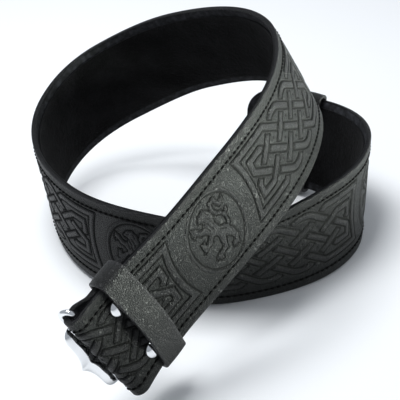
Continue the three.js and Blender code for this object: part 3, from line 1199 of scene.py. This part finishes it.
@dataclass
class Stitching:
    """Two rows of black stitches that meet round the tip, made by a node tree."""

    strap: Strap
    pitch: float = 3.6
    stitch: float = 2.7
    thread: float = 1.25
    row: float = 22.8
    start_inset: float = 1.6
    spacing: float = 1.2
    sink: float = 0.02

    def _tree(self) -> bpy.types.GeometryNodeTree:
        """Builds the tree: a bead of thread at even steps along a seam.

        Returns:
            The tree, with named inputs for the pitch, the stitch's length and the thread.
        """
        tree = bpy.data.node_groups.new("stitches_along_a_seam", "GeometryNodeTree")
        sizes = {name: "Float" for name in ("Pitch", "Stitch length", "Thread width")}
        for name, kind in {"Geometry": "Geometry", **sizes, "Thread": "Material"}.items():
            tree.interface.new_socket(name, in_out="INPUT", socket_type=f"NodeSocket{kind}")
        tree.interface.new_socket("Geometry", in_out="OUTPUT", socket_type="NodeSocketGeometry")
        nodes = Nodes(tree)

        def take(name: str) -> Socket:
            """One of the tree's inputs."""
            return nodes.add("NodeGroupInput", {}, {}, name)

        curve = nodes.add("GeometryNodeMeshToCurve", {}, {"Mesh": take("Geometry")})
        steps = {"Curve": curve, "Length": take("Pitch")}
        spaced = nodes.add("GeometryNodeResampleCurve", {"mode": "LENGTH"}, steps)
        bead = nodes.add("GeometryNodeMeshUVSphere", {}, {"Segments": 6, "Rings": 5, "Radius": 0.5})
        width = take("Thread width")
        size = nodes.add("ShaderNodeCombineXYZ", {}, {"X": take("Stitch length"), "Y": width, "Z": width})
        shaped = nodes.add("GeometryNodeTransform", {}, {"Geometry": bead, "Scale": size})
        tangent = nodes.add("GeometryNodeInputTangent", {}, {})
        named = {"Name": "facing"}
        facing = nodes.add("GeometryNodeInputNamedAttribute", {"data_type": "FLOAT_VECTOR"}, named)
        align = "FunctionNodeAlignRotationToVector"
        lengthwise = nodes.add(align, {"axis": "X"}, {"Vector": tangent})
        turned = {"Rotation": lengthwise, "Vector": facing}
        upright = nodes.add(align, {"axis": "Z", "pivot_axis": "X"}, turned)
        instances = {"Points": spaced, "Instance": shaped, "Rotation": upright}
        placed = nodes.add("GeometryNodeInstanceOnPoints", {}, instances)
        real = nodes.add("GeometryNodeRealizeInstances", {}, {"Geometry": placed})
        dressed = nodes.add("GeometryNodeSetMaterial", {}, {"Geometry": real, "Material": take("Thread")})
        nodes.add("NodeGroupOutput", {}, {"Geometry": dressed})
        return tree

    def _seam(self) -> tuple[Array, Array]:
        """The seam's points on the strap's face, and the ways that it faces there.

        Returns:
            Points, and a unit vector out of the strap at each.
        """
        strap = self.strap
        first = strap.start + self.start_inset
        places = np.concatenate((np.arange(first, strap.tip, self.spacing), [strap.tip]))
        reach = strap.tip_radius - (strap.course.width / 2 - self.row)
        bend = np.radians(np.linspace(0, 90, 16))[1:]
        end = np.concatenate((places, strap.tip + reach * np.sin(bend)))
        side = np.concatenate((np.full(len(places), self.row), self.row - reach + reach * np.cos(bend)))
        point, across, inward = strap.frames(np.concatenate((end, end[::-1])))
        v = np.concatenate((side, -side[::-1]))
        return point + across * v[:, None] + inward * self.sink, -inward

    def build(self) -> None:
        """Makes the seam, runs the tree and keeps its result as a plain mesh."""
        points, facing = self._seam()
        line = bpy.data.meshes.new("seam_line")
        edges = [(i, i + 1) for i in range(len(points) - 1)]
        line.from_pydata((points * MM).tolist(), edges, [])
        layer = line.attributes.new("facing", "FLOAT_VECTOR", "POINT")
        layer.data.foreach_set("vector", facing.astype(np.float32).ravel())
        seam = link_object("seam_line", line)
        modifier = seam.modifiers.new("stitches", "NODES")
        modifier.node_group = self._tree()
        wanted = {
            "Pitch": self.pitch * MM,
            "Stitch length": self.stitch * MM,
            "Thread width": self.thread * MM,
            "Thread": self.strap.finishes.thread,
        }
        for item in modifier.node_group.interface.items_tree:
            if item.in_out == "INPUT" and item.name in wanted:
                modifier[item.identifier] = wanted[item.name]
        bpy.context.view_layer.update()
        graph = bpy.context.evaluated_depsgraph_get()
        mesh = bpy.data.meshes.new_from_object(seam.evaluated_get(graph))
        bpy.data.objects.remove(seam)
        mesh.polygons.foreach_set("use_smooth", np.ones(len(mesh.polygons), bool))
        seat(link_object("stitching", mesh), "belt", "embossed_leather")


@dataclass
class Lining:
    """Fuzzy cloth on the strap's inner face, with a flat border round its pile."""

    strap: Strap
    start: float = 50.0
    tip_inset: float = 6.0
    inset: float = 5.0
    gap: float = 0.3
    thickness: float = 1.2
    border: float = 2.6
    pile: float = 0.55
    step: float = 0.85
    rows: int = 59
    seed: int = 7

    def build(self) -> None:
        """Builds the cloth with its tufted face."""
        strap = self.strap
        end = strap.course.length - self.tip_inset
        places = np.linspace(self.start, end, int((end - self.start) / self.step))
        point, across, inward = strap.frames(places)
        half = np.minimum(strap.course.width / 2, strap.half_width(places)) - self.inset
        rows = np.linspace(1, -1, self.rows)
        v = rows[None, :] * half[:, None]
        from_ends = np.minimum(places - self.start, end - places)
        inside = np.minimum(half[:, None] - np.abs(v), from_ends[:, None])
        rng = np.random.default_rng(self.seed)
        rough = rng.random(v.shape)
        rough = 0.5 * rough + 0.25 * (np.roll(rough, 1, 0) + np.roll(rough, 1, 1))
        raised = np.clip((inside - self.border) / 0.8, 0, 1)
        tufts = raised * (0.25 + self.pile * (rough - 0.5))
        depth = self.thickness - 0.5 + tufts + 0.25 * np.clip(inside, 0, 1)
        base = strap.course.thickness + self.gap
        middle = point[:, None]
        front = middle + (base + depth)[..., None] * inward[:, None] + v[..., None] * across[:, None]
        back_v = np.stack([-half, half], 1)
        back = middle + base * inward[:, None] + back_v[..., None] * across[:, None]
        ring = np.concatenate((front, back), 1)
        faces = tube_faces(len(places), ring.shape[1])
        made = make_mesh("lining_cloth", ring.reshape(-1, 3), faces, [strap.finishes.fuzz])
        seat(made, "belt", "fuzzy_lining", "lining")


@dataclass
class Keeper:
    """A leather loop round the strap, drawn as a route across it."""

    name: str
    node: str
    strap: Strap
    distance: float
    stack: float
    bow: float = 0.0
    back_slack: float = 0.0
    skew: float = 0.0
    width: float = 15.0
    thickness: float = 2.1
    slide: float = 0.95
    slide: float = 0.95
    edge: float = 0.7
    crowning: float = 0.22

    def _route(self) -> Array:
        """The loop's inner line as (across, depth), with even small steps.

        Returns:
            Rows of across and depth.
        """
        slant = math.radians(self.skew)
        half = self.strap.course.width / 2
        span = half / math.cos(slant) + self.width / 2 * math.tan(abs(slant)) + self.slide
        end = self.stack / 2 + self.slide
        straight = span - 0.35 * end
        sides = np.linspace(-straight, straight, 61)
        crown = np.maximum(0, np.cos(math.pi * sides / (2 * straight)))
        front = np.stack([sides, -self.slide - self.bow * crown**1.2], 1)
        back = np.stack([sides, self.stack + self.slide + self.back_slack * crown**0.5], 1)[::-1]
        angles = np.radians(np.linspace(0, 180, 19))[1:-1]
        arc = np.stack([straight + 0.35 * end * np.sin(angles), self.stack / 2 - end * np.cos(angles)], 1)
        other = np.stack([-arc[:, 0], arc[:, 1]], 1)[::-1]
        return np.concatenate((front, arc, back, other))

    def _section(self) -> Array:
        """The loop's section as rows of (rise, run): eased edges and a slightly crowned face.

        Returns:
            Rise from the inner line, and run along the strap.
        """
        half, thick, ease = self.width / 2, self.thickness, self.edge
        quarter = np.radians([0, 30, 60, 90])
        lower = [(ease - ease * math.cos(a), ease - half - ease * math.sin(a)) for a in quarter]
        lower += [(thick - ease + ease * math.sin(a), ease - half - ease * math.cos(a)) for a in quarter]
        shares = np.arange(-6, 7) / 6.5
        crown = [(thick + self.crowning * math.cos(math.pi / 2 * k), k * (half - 2 * ease)) for k in shares]
        return np.array(lower + crown + [(rise, -run) for rise, run in lower[::-1]])

    def build(self) -> None:
        """Builds the loop with eased edges, its corners paler: partly wear, partly painted highlight."""
        point, along, across, inward = self.strap.course.spot(self.distance)
        turn = Matrix.Rotation(math.radians(self.skew), 3, Vector(inward))
        along, across = np.array(turn @ Vector(along)), np.array(turn @ Vector(across))
        route = self._route()
        slope = np.roll(route, -1, 0) - np.roll(route, 1, 0)
        for _ in range(2):
            slope = (np.roll(slope, 1, 0) + 2 * slope + np.roll(slope, -1, 0)) / 4
        slope /= np.linalg.norm(slope, axis=1)[:, None]
        rise, run = self._section().T
        base = point + route[:, :1] * across + route[:, 1:] * inward
        out = slope[:, 1:] * across - slope[:, :1] * inward
        ring = base[:, None] + out[:, None] * rise[:, None] + along * run[:, None]
        # Paler along the loop's edges and faintly all over: wear with painted highlight.
        wear_and_highlight = np.where(np.abs(run) > self.width / 2 - 1.1, 0.9, 0.15)
        attributes = {"wear_and_highlight": np.tile(wear_and_highlight, len(ring)), "groove_shade": np.zeros(ring.shape[0] * ring.shape[1])}
        faces = tube_faces(len(ring), len(run), True)
        leather = [self.strap.finishes.plain]
        made = make_mesh(self.name, ring.reshape(-1, 3), faces, leather, attributes=attributes)
        seat(made, "belt", "plain_leather", self.node)


@dataclass
class Rivet:
    """A domed rivet through both layers of the folded strap end."""

    name: str
    side: float
    strap: Strap
    place: float = 25.0
    radius: float = 4.3
    height: float = 2.4
    post: float = 1.6
    back: float = 0.8
    gap: float = 0.3
    sides: int = 48

    def _profile(self) -> Array:
        """Rows of (radius, height over the strap's face), from the back's middle to the dome's.

        Returns:
            The rivet's profile.
        """
        behind = -(2 * self.strap.course.thickness + self.strap.leg_gap) - self.gap
        under, r = self.gap, self.radius
        profile = [(0.0, behind - self.back), (r - 1.0, behind - self.back)]
        profile += [(r - 0.55, behind - 0.9 * self.back), (r - 0.4, behind - 0.3), (r - 0.5, behind)]
        profile += [(self.post, behind), (self.post, under)]
        profile += [(r - 0.15, under), (r, under + 0.15), (r, under + 0.5)]
        rise = self.height - 0.5
        for angle in np.radians(np.arange(8, 90, 8)):
            profile.append((r * math.cos(angle) ** 0.9, under + 0.5 + rise * math.sin(angle)))
        return np.array(profile + [(0.0, under + self.height)])

    def build(self) -> None:
        """Turns the rivet's profile about its post."""
        point, along, across, inward = self.strap.course.spot(self.place)
        centre = point + across * self.side
        profile = self._profile()
        radius, rise = profile[1:-1, :1, None], profile[1:-1, 1:, None]
        around = np.linspace(0, 2 * math.pi, self.sides + 1)[:-1, None]
        spokes = np.cos(around) * across + np.sin(around) * along
        rings = centre + radius * spokes - rise * inward
        poles = centre - profile[[0, -1], 1:] * inward
        points = np.concatenate((rings.reshape(-1, 3), poles))
        faces = tube_faces(len(rings), self.sides)[:-2]
        low, high = len(points) - 2, len(points) - 1
        last = low - self.sides
        for j in range(self.sides):
            k = (j + 1) % self.sides
            faces += [[low, k, j], [high, last + j, last + k]]
        metal = [self.strap.finishes.chrome]
        made = make_mesh(f"{self.name}_dome", points, faces, metal, sharp=Sharp.CRISP)
        seat(made, "belt", "chrome", self.name)


@dataclass
class Buckle:
    """The chrome buckle in its own frame: the bar lies on Y, which points to the strap's
    lower edge, the plate's body runs to +X behind the strap, and +Z is away from it."""

    strap: Strap
    length: float = 50.0
    height: float = 42.0
    thick: float = 1.8
    margin: float = 9.0
    corner: float = 7.0
    far_corner: float = 18.0
    point: float = 3.5
    stand_off: float = 7.3
    slide: float = 0.4
    panel: float = 0.9
    wire: float = 1.4
    reach: float = 30.5
    bend: float = 3.2
    foot_inset: float = 6.0
    leg_lean: float = 18.0
    hook_place: float = 37.0
    hook_reach: float = 7.0
    hook_drop: float = 4.2
    hook_width: float = 12.0
    hook_slim: float = 0.75
    hook_bend: float = 1.6

    def _frame(self) -> tuple[Array, Array]:
        """The bar's middle, and the frame's axes as rows."""
        point, along, across, inward = self.strap.course.spot(self.strap.fold_place)
        return point + inward * self.strap.fold_radius, np.array([along, -across, inward])

    def _outline(self, inset: float) -> Array:
        """The plate's outline, drawn in by an inset.

        Args:
            inset: how far it is drawn in.

        Returns:
            Places (x, y), round the plate, as many for every inset.
        """
        left, right = inset - self.margin, self.length - self.margin - inset
        half = self.height / 2 - inset
        near, far = self.corner - inset / 2, self.far_corner - inset / 2
        waist = 0.16 * self.height
        tip, ease = left - self.point, left - 0.3 * self.point
        curves = [
            [(right - far, -half), (right, -half), (right, far - half)],
            [(right, half - far), (right, half), (right - far, half)],
            [(left + near, half), (left, half), (left, half - near)],
            [(left, half - near), (left, waist), (ease, waist / 2), (tip, 0)],
            [(tip, 0), (ease, -waist / 2), (left, -waist), (left, near - half)],
            [(left, near - half), (left, -half), (left + near, -half)],
        ]
        points = []
        for curve in curves:
            for t in np.linspace(0, 1, 13)[:-1]:
                order = len(curve) - 1
                shares = [math.comb(order, k) * t**k * (1 - t) ** (order - k) for k in range(order + 1)]
                points.append(sum(share * np.array(place) for share, place in zip(shares, curve)))
        return np.array(points)

    def _add(self, name: str, rings: Array, *nodes: str) -> None:
        """Builds a closed loft through rings given in the buckle's frame.

        Args:
            name: the piece's name.
            rings: the rings' points.
            nodes: the solids that it replaces.
        """
        origin, axes = self._frame()
        points = origin + rings.reshape(-1, 3) @ axes
        faces = tube_faces(len(rings), rings.shape[1])
        made = make_mesh(name, points, faces, [self.strap.finishes.chrome], sharp=Sharp.CRISP)
        seat(made, "buckle", "chrome", *nodes)

    def _plate(self) -> None:
        """The plate: its rim rolls away from the strap, and its front has a raised panel."""
        low = self.stand_off
        top = low + self.thick
        face = top + self.panel
        rim = [(9.0, 0), (6.5, 0), (5.0, 0.06), (3.6, 0.2), (2.4, 0.42)]
        rim += [(1.4, 0.68), (0.6, 0.95), (0.15, 1.2), (0.0, 1.4)]
        profile = [(inset, low + rise) for inset, rise in rim]
        profile += [(0.2, top - 0.1), (0.6, top), (3.7, top), (4.0, top + 0.1), (4.2, top + 0.5)]
        profile += [(4.6, top + 0.8), (5.2, face), (8.0, face)]
        rings = []
        for inset, height in profile:
            outline = self._outline(inset) + (0.0, self.slide)
            rings.append(np.column_stack((outline, np.full(len(outline), height))))
        self._add("buckle_plate", np.array(rings), "buckle")

    def _bar(self) -> None:
        """The bar in the fold: a round wire whose ends turn back to the plate."""
        lean = math.radians(self.leg_lean)
        foot = (self.stand_off - 0.3) / math.cos(lean)
        grip = self.height / 2 - self.foot_inset
        route = [(self.slide - grip, foot)]
        for side, depth, turn in (
            (-1, foot - self.bend, 90), (-1, self.bend, 180), (1, self.bend, 270), (1, foot - self.bend, 0),
        ):
            for angle in np.radians(np.linspace(turn, turn + 90, 8)):
                across = side * (self.reach - self.bend) + self.bend * math.cos(angle)
                route.append((across, depth + self.bend * math.sin(angle)))
        route = np.array(route + [(self.slide + grip, foot)])
        way = ways_along(route)
        around = np.radians(np.arange(0, 360, 22.5))
        out = self.wire * np.sin(around)
        y = route[:, :1] + way[:, 1:] * out
        z = route[:, 1:] - way[:, :1] * out
        x = np.broadcast_to(self.wire * np.cos(around), y.shape)
        leant = (x * math.cos(lean) - z * math.sin(lean), y, x * math.sin(lean) + z * math.cos(lean))
        self._add("buckle_bar_wire", np.stack(leant, -1))

    def _hook(self) -> None:
        """The hook that catches the strap's tail: a bent strip under the plate's far end."""
        thick, ease, bend = self.thick / 2, 0.3, self.hook_bend
        low = self.stand_off - self.hook_drop + thick
        turn = self.hook_place - bend
        line = [(self.hook_place + thick - self.hook_reach, low), (turn, low)]
        for angle in np.radians((-60, -30, 0)):
            line.append((turn + bend * math.cos(angle), low + bend + bend * math.sin(angle)))
        line = np.array(line + [(self.hook_place, self.stand_off + ease)])
        rings = []
        for i, ((x, z), (wx, wz)) in enumerate(zip(line, ways_along(line))):
            wide = self.hook_width / 2 * (self.hook_slim if i == 0 else 1.0)
            section = [(ease - wide, -thick), (wide - ease, -thick)]
            section += [(wide, ease - thick), (wide, thick - ease)]
            section += [(-y, -out) for y, out in section]
            rings.append([(x - wz * out, self.slide + y, z + wx * out) for y, out in section])
        self._add("buckle_hook", np.array(rings))

    def build(self) -> None:
        """Builds the plate, the bar and the hook."""
        self._plate()
        self._bar()
        self._hook()


# The studio


@dataclass(frozen=True)
class SoftBox:
    """A soft box, in metres, watts and degrees. It faces its aim, and spread is its cone."""

    name: str
    place: tuple[float, float, float]
    size: tuple[float, float]
    power: float
    aim: tuple[float, float, float] = (0.0, 0.0, 0.05)
    colour: tuple[float, float, float] = (1.0, 1.0, 1.0)
    spread: float = 180.0


@dataclass
class Studio:
    """Floor, lights and camera."""

    finishes: Finishes
    eye: tuple[float, float, float] = (-1.9, -489.3, 349.1)
    ahead: tuple[float, float, float] = (0.0, 0.84916, -0.52814)
    up: tuple[float, float, float] = (0.0499, 0.52748, 0.8481)
    lens: float = 93.33
    floor_size: float = 6.0
    sky_colour: tuple[float, float, float, float] = (0.86, 0.92, 1.0, 1.0)
    sky_strength: float = 0.42
    boxes: tuple[SoftBox, ...] = (
        SoftBox("top_box", (-0.25, 0.1, 1.0), (0.5, 0.5), 10.5, colour=(0.94, 0.97, 1.0)),
        SoftBox("right_box", (0.42, -0.17, 0.03), (0.4, 0.055), 2.3, (-0.04, -0.08, 0.21),
                (0.93, 1.0, 0.91), 50.0),
    )

    def camera(self) -> None:
        """Places the camera at the photograph's angle."""
        data = bpy.data.cameras.new("camera")
        data.sensor_width = 36.0
        data.lens = self.lens
        data.clip_start, data.clip_end = 0.01, 20.0
        ahead, up = Vector(self.ahead).normalized(), Vector(self.up).normalized()
        right = ahead.cross(up)
        turn = Matrix((right, right.cross(ahead), -ahead)).transposed().to_4x4()
        made = link_object("camera", data)
        made.matrix_world = Matrix.Translation(Vector(self.eye) * MM) @ turn
        bpy.context.scene.camera = made

    def floor(self) -> None:
        """A pale floor under the belt."""
        size = self.floor_size
        mesh = bpy.data.meshes.new("floor")
        corners = [(-size, -size, 0), (size, -size, 0), (size, size, 0), (-size, size, 0)]
        mesh.from_pydata(corners, [], [(0, 1, 2, 3)])
        mesh.materials.append(self.finishes.floor)
        link_object("floor", mesh)

    def lamp(self, box: SoftBox) -> None:
        """Adds one soft box that looks at its point.

        Args:
            box: the soft box.
        """
        data = bpy.data.lights.new(box.name, "AREA")
        data.shape = "RECTANGLE"
        data.size, data.size_y = box.size
        data.energy = box.power
        data.spread = math.radians(box.spread)
        data.color = box.colour
        made = link_object(box.name, data)
        made.location = box.place
        made.rotation_mode = "QUATERNION"
        made.rotation_quaternion = (Vector(box.aim) - Vector(box.place)).to_track_quat("-Z", "Y")

    def build(self) -> None:
        """Builds the studio."""
        self.camera()
        self.floor()
        for box in self.boxes:
            self.lamp(box)
        world = bpy.data.worlds.new("studio")
        world.use_nodes = True
        sky = world.node_tree.nodes["Background"].inputs
        sky["Color"].default_value = self.sky_colour
        sky["Strength"].default_value = self.sky_strength
        bpy.context.scene.world = world
        bpy.context.scene.view_settings.view_transform = "Standard"


def main() -> None:
    """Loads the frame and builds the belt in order."""
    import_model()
    finishes = Finishes()
    Studio(finishes).build()
    strap = Strap(Course(), finishes)
    strap.settle()
    strap.build()
    Stitching(strap).build()
    Lining(strap).build()
    Keeper(
        "buckle_keeper_loop", "buckle_keeper", strap,
        distance=32.0, stack=6.9, bow=4.9, back_slack=1.3, skew=-0.5,
    ).build()
    Keeper("tail_keeper_loop", "tail_keeper", strap, distance=824.0, stack=4.7).build()
    for name, side in (("rivet_1", 16.0), ("rivet_2", -16.0)):
        Rivet(name, side, strap).build()
    Buckle(strap).build()


if __name__ == "__main__":
    main()
